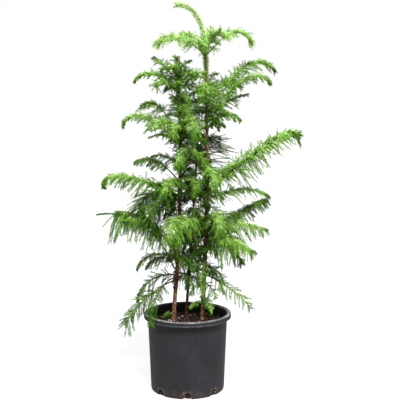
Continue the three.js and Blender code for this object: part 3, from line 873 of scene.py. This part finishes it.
            backLeft=newBough(110, 182, 8, 62, 1.4),
            backRight=newBough(36, 182, 8, 62, 1.4),
        ),
        small=dict(
            backLow=newBough(78, 150, 0, 55, 1.3, height=372, tone="mid"),
            backHigh=newBough(84, 172, 18, 62, 1.4, height=448, tone="mid"),
        )),
    dict(
        stem="middle", tier="foot", height=330, reach=40, hang=0.3, lift=6, tone="deep", spacing=1.9,
        inner=4,
        boughs=dict(
            front=newBough(292, 80, 14, 80, 1),
        ),
        small=dict(
            frontLeft=newBough(226, 82, 0, 75, 1, height=336, tone="mid"),
            left=newBough(190, 58, -10, 70, 1, height=306),
            leftHigh=newBough(245, 60, 0, 60, 1, height=402, reach=36, tone="mid"),
            frontHigh=newBough(276, 92, 10, 80, 1, height=372, tone="mid"),
            frontLow=newBough(262, 78, -6, 72, 1, height=322, reach=34),
        )),
]

# the nodding tip of the tall stem, clothed in long needles and without shoots
leader = newBough(180, 163, 84, 95, 2.25, stem="tall", tier="leader", kind="leader", tone="bright")

# greens from the lightest to the darkest, each with a slot name
toneSlots = dict(bright="needles_fresh", fresh="needles_fresh", mid="needles_mid", deep="needles_deep")
tones = list(toneSlots)

innerBough = {
    "length": (48, 92),
    "rise": (-8, 58),
    "droop": (70, 110),
    "late": 1.4,
    "turnScatter": 0.2,  # share of the gap between two of them
    "scatter": 30,  # up and down the stem
    "reach": 0.85,
    "spacing": 2.0,
    "seed": 60,
}

boughWood = {
    "radius": 2.4,  # of a long bough, and less by length on a short one
    "radiusPerLength": 0.012,
    "tipRadius": 0.6,
    "taper": 0.8,
    "sides": 8,
    "ringStep": 4,
    "fewestRings": 12,
    "lineSteps": 40,
    "gap": 0.3,
    "rough": 0.5,
    "roughSize": 0.004,
}


def mixed(first, second, share):
    return first + (second - first) * share


def stemShare(stem, height):
    foot = stemBark["footLevel"]
    return min(max((height - foot) / (stem["height"] - foot), 0), 1)


def stemPoint(stem, share):
    sway = math.sin(math.pi * share)
    x = mixed(stem["foot"][0], stem["top"][0], share) + stem["bow"][0] * sway
    y = mixed(stem["foot"][1], stem["top"][1], share) + stem["bow"][1] * sway
    return np.array((x, y, mixed(stemBark["footLevel"], stem["height"], share)))


def stemRadius(stem, share):
    above = share * (stem["height"] - stemBark["footLevel"])
    taper = mixed(stem["footRadius"], stem["topRadius"], share)
    return taper + stemBark["flare"] * math.exp(-above / stemBark["flareHeight"])


def boughClimb(bough, share):
    return np.radians(bough["rise"] - bough["droop"] * np.power(share, bough["late"]))


def boughDirection(bough, share):
    heading = math.radians(bough["turn"])
    climb = boughClimb(bough, share)
    flat = np.cos(climb)
    return np.stack([math.cos(heading) * flat, math.sin(heading) * flat, np.sin(climb)], -1)


def drawBough(bough, start):
    steps = boughWood["lineSteps"]
    shares = (np.arange(steps) + 0.5) / steps
    strides = boughDirection(bough, shares) * bough["length"] / steps
    bough["line"] = np.vstack([start, start + np.cumsum(strides, axis=0)])
    heading = math.radians(bough["turn"])
    bough["side"] = np.array((math.sin(heading), -math.cos(heading), 0.0))


def boughPoint(bough, share):
    steps = boughWood["lineSteps"]
    ticks = np.linspace(0, 1, steps + 1)
    return np.stack([np.interp(share, ticks, bough["line"][:, axis]) for axis in range(3)], -1)


def boughRadius(bough, share):
    return mixed(bough["radius"], boughWood["tipRadius"], np.power(share, boughWood["taper"]))


def fillWhorl(tier, rng):
    first, span = tier.get("innerArc", (rng.uniform(0, 360), 360))
    # painted shade: the inner boughs start one green darker than their tier
    darker = tones[min(tones.index(tier["tone"]) + 1, len(tones) - 1)]
    return [{
        "turn": first + span * (k + innerBough["turnScatter"] * rng.uniform(-1, 1)) / tier["inner"],
        "length": rng.uniform(*tier.get("innerLength", innerBough["length"])),
        "rise": rng.uniform(*tier.get("innerRise", innerBough["rise"])),
        "droop": rng.uniform(*tier.get("innerDroop", innerBough["droop"])),
        "late": innerBough["late"],
        "spacing": innerBough["spacing"],
        "kind": "shaded",
        "tone": tier.get("innerTone", darker),
        "reach": tier["reach"] * innerBough["reach"],
        "height": tier["height"] + innerBough["scatter"] * rng.uniform(-1, 1),
    } for k in range(tier["inner"])]


def listBoughs():
    boughs = []
    rng = np.random.default_rng(innerBough["seed"])
    for tier in tiers:
        for own in [*tier["boughs"].values(), *tier.get("small", {}).values(), *fillWhorl(tier, rng)]:
            bough = {"limb": 0, **tier, **own}
            stem = stems[bough["stem"]]
            share = stemShare(stem, bough["height"])
            byLength = boughWood["tipRadius"] + boughWood["radiusPerLength"] * bough["length"]
            bough["radius"] = min(boughWood["radius"], byLength)
            away = stemRadius(stem, share) + boughWood["gap"]
            away += bough["radius"] * abs(math.sin(math.radians(bough["rise"])))
            heading = math.radians(bough["turn"])
            start = stemPoint(stem, share) + away * np.array((math.cos(heading), math.sin(heading), 0))
            drawBough(bough, start)
            boughs.append(bough)
    stem = stems[leader["stem"]]
    tip = {**leader, "radius": stem["topRadius"]}
    drawBough(tip, stemPoint(stem, 1) + up * boughWood["gap"])
    return boughs + [tip]


def barsAlong(name, bars, sides):
    # each bar is a line of points with its radius at each one
    curve = bpy.data.curves.new(name, "CURVE")
    curve.dimensions = "3D"
    curve.bevel_depth = 1.0
    curve.bevel_resolution = sides // 2 - 2
    curve.use_fill_caps = True
    for points, radii in bars:
        spline = curve.splines.new("POLY")
        spline.points.add(len(points) - 1)
        for knot, point, radius in zip(spline.points, points, radii):
            knot.co = (*(point * mm), 1)
            knot.radius = radius * mm
    piece = bpy.data.objects.new(name, curve)
    bpy.context.scene.collection.objects.link(piece)
    pick(piece)
    bpy.ops.object.convert(target="MESH")
    return bpy.context.object


def makeStems():
    for name, stem in stems.items():
        whorls = sorted({b["height"] for b in allBoughs if b["stem"] == name and "height" in b})
        rise = stem["height"] - stemBark["footLevel"]
        shares = np.linspace(0, 1, int(rise / stemBark["ringStep"]))
        points = np.array([stemPoint(stem, share) for share in shares])
        radii = np.array([stemRadius(stem, share) for share in shares])
        for height in whorls:
            reach = (points[:, 2] - height) / stemBark["whorlSpread"]
            radii = radii + stemBark["whorlSwell"] * np.exp(-reach ** 2)
        points[0, 2] -= stemBark["sunk"]
        piece = barsAlong("stem_" + name + "_bark", [(points, radii)], stemBark["sides"])
        addRelief(piece, "flakes", "VORONOI", stemBark["flakeSize"], stemBark["flake"])
        addRelief(piece, "grain", "CLOUDS", stemBark["grainSize"], stemBark["grain"])
        applyAll(piece)
        bpy.ops.object.shade_smooth()
        settle(piece, ["stem_" + name], finishes["bark"])


def makeBoughs():
    for name, young in [("tall", True)] + [(name, False) for name in stems]:
        bars = []
        for bough in allBoughs:
            if bough["stem"] == name and (bough["tone"] == "bright") == young:
                rings = max(boughWood["fewestRings"], int(bough["length"] / boughWood["ringStep"]))
                shares = np.linspace(0, 1, rings)
                points = boughPoint(bough, shares)
                if bough["tier"] != "leader":
                    inward = stemPoint(stems[name], stemShare(stems[name], bough["height"]))
                    points = np.vstack([inward * [1, 1, 0] + points[0] * [0, 0, 1], points])
                    shares = np.concatenate([[0], shares])
                bars.append((points, boughRadius(bough, shares)))
        piece = barsAlong(("young_boughs_" if young else "boughs_") + name, bars, boughWood["sides"])
        addRelief(piece, "rind", "CLOUDS", boughWood["roughSize"], boughWood["rough"])
        applyAll(piece)
        bpy.ops.object.shade_smooth()
        nodes = [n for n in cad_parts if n.startswith(("bough_" + name, "foliage_" + name))]
        settle(piece, nodes, finishes["youngTwig" if young else "bough"])


allBoughs = listBoughs()
makeStems()
makeBoughs()
print("stems and", len(allBoughs), "boughs made")


# Foliage: shoots in two ranks along each bough, clothed in incurved needles

foliage = {
    "spacing": 1.4,  # between shoots along a bough, both ranks together
    "shortShare": 0.5,  # short shoots make the dense core of a bough, long ones its fringe
    "short": (0.26, 0.5),
    "long": (0.68, 1.12),
    "shortLift": 24,
    "rootAngle": 72,
    "tipAngle": 50,
    "roll": 38,  # how far a bough's flat side turns to the front
    "rollWander": 12,
    "forward": 0.28,  # how far a shoot swings towards the bough's tip, and sag how far down
    "sag": 0.85,
    "sagSpread": (0.2, 1.6),
    "wander": 0.36,
    "liftWander": 22,
    "leanWander": 12,
    "missing": 0.03,  # share of shoots that have died off
    "firstShoot": 0.05,  # share of the bough beyond its bare limb
    "lastShoot": 0.985,  # share of the whole bough
    "rootLength": 0.62,  # the first shoots, against the longest
    "fullest": 0.35,  # where along a bough the shoots are longest
    "thin": 0.8,  # how much shorter they get from there to the tip
    "thinBend": 0.85,
    "closest": 0.42,  # share of the spacing where the shoots are shortest
    "crest": 0.75,  # length of the rank that stands up, against the one that hangs
    "potGap": 4,
    "wallGap": 6,  # inside the pot
    "stemGap": 2,
    "lowest": 40,  # beside the pot
    "bareBright": 0.06,  # the start of a bough that has no needles of its own
    "bare": 0.1,
    "boughStep": 10,  # lengths of bough and of stem that are clothed as one shoot
    "stemStep": 12,
    "pieceLimit": 48000,  # needles in one piece
    "seed": 4100,
}

# How the greens are dealt out, counted in steps from the lightest one
shading = {
    "bright": (-0.5, 0.4),  # middle and wander of the newest shoots
    "age": 0.5,  # shoots grow lighter along the bough
    "ageMiddle": 0.45,
    "wander": 0.42,
    "top": -0.3,  # short shoots catch the light, hanging ones lie in the shade
    "under": 0.55,
    "tipFrom": 0.86,  # where a bough's tip starts to darken with painted shade
    "tip": 2.4,
    "endFrom": 0.66,  # where a shoot's own end starts to darken with painted shade
    "end": 1.2,
    "needle": 0.4,  # how much neighbouring needles differ
    "facing": 0.45,  # painted light: needles that point up are brighter
    "spared": (0.3, 0.6),  # the newest shoots hardly darken at their ends, nor differ by needle
}

# Needles by age: length, width and spacing in millimetres, angle off the shoot at the root and at the tip
needleKinds = {
    "young": {"length": 5.1, "width": 1.25, "step": 1.0, "spread": 48, "curl": 18},
    "soft": {"length": 6.4, "width": 1.2, "step": 0.95, "spread": 60, "curl": 32},
    "fine": {"length": 3.8, "width": 1.05, "step": 1.05, "spread": 38, "curl": 12},
    "grown": {"length": 4.5, "width": 1.2, "step": 1.03, "spread": 43, "curl": 14},
    "shaded": {"length": 4.8, "width": 1.5, "step": 1.65, "spread": 44, "curl": 16},
    "brush": {"length": 5.8, "width": 1.3, "step": 0.88, "spread": 49, "curl": 21},
    "leader": {"length": 12.5, "width": 1.3, "step": 0.32, "spread": 66, "curl": 44},
    "scale": {"length": 4.5, "width": 1.1, "step": 1.1, "spread": 50, "curl": 20},
}

needle = {
    "fewest": 6,  # on a shoot
    "place": (0.1, 0.9),  # within its own step
    "nextTurn": 137.5,  # round the shoot from one needle to the next
    "turnWander": 0.25,
    "spreadWander": 0.14,
    "curlWander": 0.12,
    "leastBend": 0.1,  # every needle curves in
    "size": (0.78, 1.18),
    "keel": 0.4,
    "closeFrom": 0.85,  # the last needles of a shoot point forward
    "close": 0.35,
}

twig = {
    "radius": 0.8,
    "tipRadius": 0.35,
    "rings": 3,
    "end": 0.97,  # hidden by the last needles
    "corners": (0.5, 2.6, 4.7),
}

# Lengths of stem that are still green, and the kind of needle on them
greenStems = {
    "tall": {"above": 845, "kind": "leader", "tone": "mid"},
    "left": {"above": 800, "kind": "leader", "tone": "mid"},
    "middle": {"above": 610, "kind": "grown", "tone": "deep"},
}


def unit(vectors):
    return vectors / np.linalg.norm(vectors, axis=-1, keepdims=True)


def clearOfPot(point):
    out = math.hypot(point[0], point[1])
    gap = foliage["potGap"]
    outside = out > pot["rimRadius"] + gap and point[2] > foliage["lowest"]
    inside = out < pot["shoulderRadius"] - pot["wall"] - foliage["wallGap"] and point[2] > soil["level"] + gap
    return point[2] > pot["height"] + gap or outside or inside


def clearOfStems(point):
    gap = foliage["stemGap"]
    for stem in stems.values():
        if point[2] < stem["height"] + gap:
            share = stemShare(stem, point[2])
            away = np.linalg.norm((point - stemPoint(stem, share))[:2])
            if away < stemRadius(stem, share) + gap:
                return False
    return True


def shootLength(bough, share):
    fullest = foliage["fullest"]
    if share < fullest:
        swell = mixed(foliage["rootLength"], 1, share / fullest)
    else:
        beyond = (share - fullest) / (1 - fullest)
        swell = 1 - bough.get("thin", foliage["thin"]) * beyond ** foliage["thinBend"]
    return bough["reach"] * swell


def dealTone(bough, share, rng):
    # younger, brighter shoots along the outer half, and painted shade on a curled tip, except on the newest
    # boughs
    if bough["tone"] == "bright":
        return rng.normal(*shading["bright"])
    tone = tones.index(bough["tone"]) + shading["age"] * (shading["ageMiddle"] - share)
    tone += rng.normal(0, shading["wander"])
    # painted shade towards the bough's tip
    return tone + shading["tip"] * max(0, (share - shading["tipFrom"]) / (1 - shading["tipFrom"]))


def needleKind(bough):
    byAge = "young" if bough["tone"] in ("bright", "fresh") else "grown"
    return bough.get("kind", byAge)


def shootShares(bough):
    # closer together where the shoots are short
    spacing = bough.get("spacing", foliage["spacing"]) / bough["length"]
    shares = [mixed(bough["limb"], 1, foliage["firstShoot"])]
    while shares[-1] < foliage["lastShoot"]:
        fullness = shootLength(bough, shares[-1]) / bough["reach"]
        shares.append(shares[-1] + spacing * mixed(foliage["closest"], 1, fullness))
    return shares[:-1]


def growShoots(bough, rng):
    shoots = []
    toFront = -foliage["roll"] * math.cos(math.radians(bough["turn"]))
    roll = math.radians(bough.get("roll", toFront) + rng.normal(0, foliage["rollWander"]))
    for i, share in enumerate(shootShares(bough)):
        root = boughPoint(bough, share)
        along = boughDirection(bough, share)
        rank = 1 if i % 2 else -1
        lean = math.radians(bough.get("lean", mixed(foliage["rootAngle"], foliage["tipAngle"], share)))
        lean += math.radians(rng.normal(0, foliage["leanWander"]))
        short = rng.random() < bough.get("shortShare", foliage["shortShare"])
        lift = bough["lift"] + foliage["shortLift"] * short
        lift = math.radians(lift + rng.normal(0, foliage["liftWander"]))
        level, plumb = bough["side"], np.cross(bough["side"], along)
        across = level * math.cos(roll) + plumb * math.sin(roll)
        above = plumb * math.cos(roll) - level * math.sin(roll)
        outward = across * rank * math.cos(lift) + above * math.sin(lift)
        heading = along * math.cos(lean) + outward * math.sin(lean)
        heading = unit(heading - up * (bough["hang"] + foliage["wander"] * (rng.random() - 0.5)))
        length = shootLength(bough, share) * rng.uniform(*foliage["short" if short else "long"])
        if rank * roll > 0 and not short:
            length *= bough.get("crest", foliage["crest"])
        sag = bough.get("sag", foliage["sag"]) * rng.uniform(*foliage["sagSpread"])
        bend = unit(heading + along * foliage["forward"] - up * sag)
        middle = root + heading * length * 0.5
        tip = middle + bend * length * 0.5
        under = not short and rank * roll <= 0
        tone = dealTone(bough, share, rng) + shading["top"] * short + shading["under"] * under
        kind = bough["fringe"] if "fringe" in bough and not short else needleKind(bough)
        clear = all(clearOfPot(point) and clearOfStems(point) for point in (middle, tip))
        if rng.random() > foliage["missing"] and clear:
            shoots.append({
                "root": root, "middle": middle, "tip": tip,
                "twig": True, "kind": kind, "tone": tone, "young": bough["tone"] == "bright"})
    return shoots


def clothe(points, kind, pickTone):
    # needles straight on a bough or stem, as short shoots without a twig of their own
    return [{
        "root": points[i], "middle": (points[i] + points[i + 1]) / 2, "tip": points[i + 1],
        "twig": False, "kind": kind, "tone": pickTone(i / (len(points) - 2))}
        for i in range(len(points) - 1)]


def clotheBough(bough, rng):
    bare = foliage["bareBright"] if bough["tone"] == "bright" else max(bough["limb"], foliage["bare"])
    if bough["tier"] == "leader":
        bare = 0
    pieces = max(4, int(bough["length"] * (1 - bare) / foliage["boughStep"]))
    points = boughPoint(bough, np.linspace(bare, 1, pieces + 1))
    return clothe(points, needleKind(bough), lambda share: dealTone(bough, mixed(bare, 1, share), rng))


def clotheStem(name, low, high, kind, tone):
    stem = stems[name]
    levels = np.linspace(low, high, max(3, int((high - low) / foliage["stemStep"])))
    points = np.array([stemPoint(stem, stemShare(stem, level)) for level in levels])
    return clothe(points, kind, lambda share: tones.index(tone))


def onShoot(shoots, which, t):
    # points and directions on the shoots' bent lines
    root, middle, tip = (np.array([s[key] for s in shoots])[which] for key in ("root", "middle", "tip"))
    t = t[:, None]
    point = (1 - t) ** 2 * root + 2 * t * (1 - t) * middle + t ** 2 * tip
    along = unit((1 - t) * (middle - root) + t * (tip - middle))
    steep = np.abs(unit(tip - root)[:, 2:]) >= 0.8
    guide = np.where(steep, np.array((1.0, 0.0, 0.0)), up)
    across = unit(np.cross(along, guide))
    return point, along, across, np.cross(across, along)


def pastShare(t, start):
    return np.clip((t - start) / (1 - start), 0, 1)


def needleArrays(shoots, rng):
    kinds = {key: np.array([needleKinds[s["kind"]][key] for s in shoots]) for key in needleKinds["young"]}
    ends = [np.array([s[key] for s in shoots]) for key in ("root", "middle", "tip")]
    lengths = np.linalg.norm(ends[1] - ends[0], axis=1) + np.linalg.norm(ends[2] - ends[1], axis=1)
    counts = np.maximum(needle["fewest"], np.round(lengths / kinds["step"]).astype(int))
    which = np.repeat(np.arange(len(shoots)), counts)
    total = len(which)
    order = np.arange(total) - np.repeat(np.cumsum(counts) - counts, counts)
    t = np.clip((order + rng.uniform(*needle["place"], total)) / counts[which], 0, 1)
    point, along, across, above = onShoot(shoots, which, t)
    turn = order * math.radians(needle["nextTurn"]) + rng.normal(0, needle["turnWander"], total)
    out = across * np.cos(turn)[:, None] + above * np.sin(turn)[:, None]
    side = np.cross(along, out)
    ending = np.array([s["twig"] for s in shoots])[which]
    closing = 1 - needle["close"] * ending * pastShare(t, needle["closeFrom"])
    spread = np.radians(kinds["spread"][which]) * closing + rng.normal(0, needle["spreadWander"], total)
    curl = np.radians(kinds["curl"][which]) * closing + rng.normal(0, needle["curlWander"], total)
    curl = np.minimum(curl, spread - needle["leastBend"])
    size = kinds["length"][which] * rng.uniform(*needle["size"], total)
    first = along * np.cos(spread)[:, None] + out * np.sin(spread)[:, None]
    last = along * np.cos(curl)[:, None] + out * np.sin(curl)[:, None]
    middle = point + first * (0.5 * size)[:, None]
    tip = middle + last * (0.5 * size)[:, None]
    half = (kinds["width"][which] / 2)[:, None]
    back = middle - needle["keel"] * half * np.cross(first, side)
    corners = np.stack([point, back + half * side, back - half * side, tip], 1)
    tone = np.array([s["tone"] for s in shoots])[which]
    atEnd, byNeedle = shading["spared"]
    # painted shade at the hanging end of each shoot
    endShade = shading["end"] * ending * pastShare(t, shading["endFrom"])
    tone = tone + np.clip(tone + atEnd, 0, 1) * endShade
    # painted light on needles that point up, and a random difference between neighbours
    facing = shading["needle"] * rng.normal(0, 1, total) - shading["facing"] * first[:, 2]
    tone = tone + np.clip(tone + byNeedle, 0, 1) * facing
    return corners, np.clip(np.round(tone), 0, len(tones) - 1).astype(int)


def needleMesh(name, corners):
    # each needle has four faces, with its keel on the outside of the shoot
    shape = np.array([(0, 1, 2), (3, 2, 1), (0, 3, 1), (0, 2, 3)])
    faces = (shape[None] + 4 * np.arange(len(corners))[:, None, None]).reshape(-1, 3)
    return meshFromArrays(name, corners.reshape(-1, 3), faces)


def twigArrays(shoots):
    # three-sided bars, closed at both ends
    rings = twig["rings"]
    which = np.repeat(np.arange(len(shoots)), rings)
    t = np.tile(np.linspace(0, twig["end"], rings), len(shoots))
    point, along, across, above = onShoot(shoots, which, t)
    radius = mixed(twig["radius"], twig["tipRadius"], t)[:, None]
    corners = [point + radius * (math.cos(a) * across + math.sin(a) * above) for a in twig["corners"]]
    vertices = np.stack(corners, 1).reshape(-1, 3)
    bar = [(0, 1, 2), (3 * rings - 1, 3 * rings - 2, 3 * rings - 3)]
    for here in range(0, 3 * rings - 3, 3):
        for k, after in ((0, 1), (1, 2), (2, 0)):
            bar.append((here + k, here + 3 + k, here + 3 + after))
            bar.append((here + k, here + 3 + after, here + after))
    faces = (np.array(bar)[None] + 3 * rings * np.arange(len(shoots))[:, None, None]).reshape(-1, 3)
    return vertices, faces


def makeFoliage():
    triangles = 0
    for index, name in enumerate(stems):
        nodes = [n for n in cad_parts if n.startswith("foliage_" + name)]
        rng = np.random.default_rng(foliage["seed"] + index)
        shoots = []
        for bough in allBoughs:
            if bough["stem"] == name:
                shoots += clotheBough(bough, rng)
                if bough["tier"] != "leader":
                    shoots += growShoots(bough, rng)
        green = greenStems[name]
        shoots += clotheStem(name, green["above"], stems[name]["height"], green["kind"], green["tone"])
        scales = clotheStem(name, stemBark["scalesFrom"], green["above"], "scale", "deep")
        piece = needleMesh("stem_" + name + "_scales", needleArrays(scales, rng)[0])
        settle(piece, ["stem_" + name], finishes["bark"])
        for young in (False, True):
            twigs = [s for s in shoots if s["twig"] and s["young"] == young]
            if twigs:
                piece = meshFromArrays(("young_twigs_" if young else "twigs_") + name, *twigArrays(twigs))
                settle(piece, nodes, finishes["youngTwig" if young else "twig"])
        corners, dealt = needleArrays(shoots, rng)
        for shade, tone in enumerate(tones):
            needles = corners[dealt == shade]
            parts = math.ceil(len(needles) / foliage["pieceLimit"])
            for part in range(parts):
                low, high = (len(needles) * k // parts for k in (part, part + 1))
                piece = needleMesh("needles_{}_{}_{}".format(name, tone, part + 1), needles[low:high])
                settle(piece, nodes, finishes[tone])
        triangles += 4 * len(corners)
        print("foliage of the", name, "stem:", len(shoots), "shoots")
    print("needle triangles:", triangles)


makeFoliage()
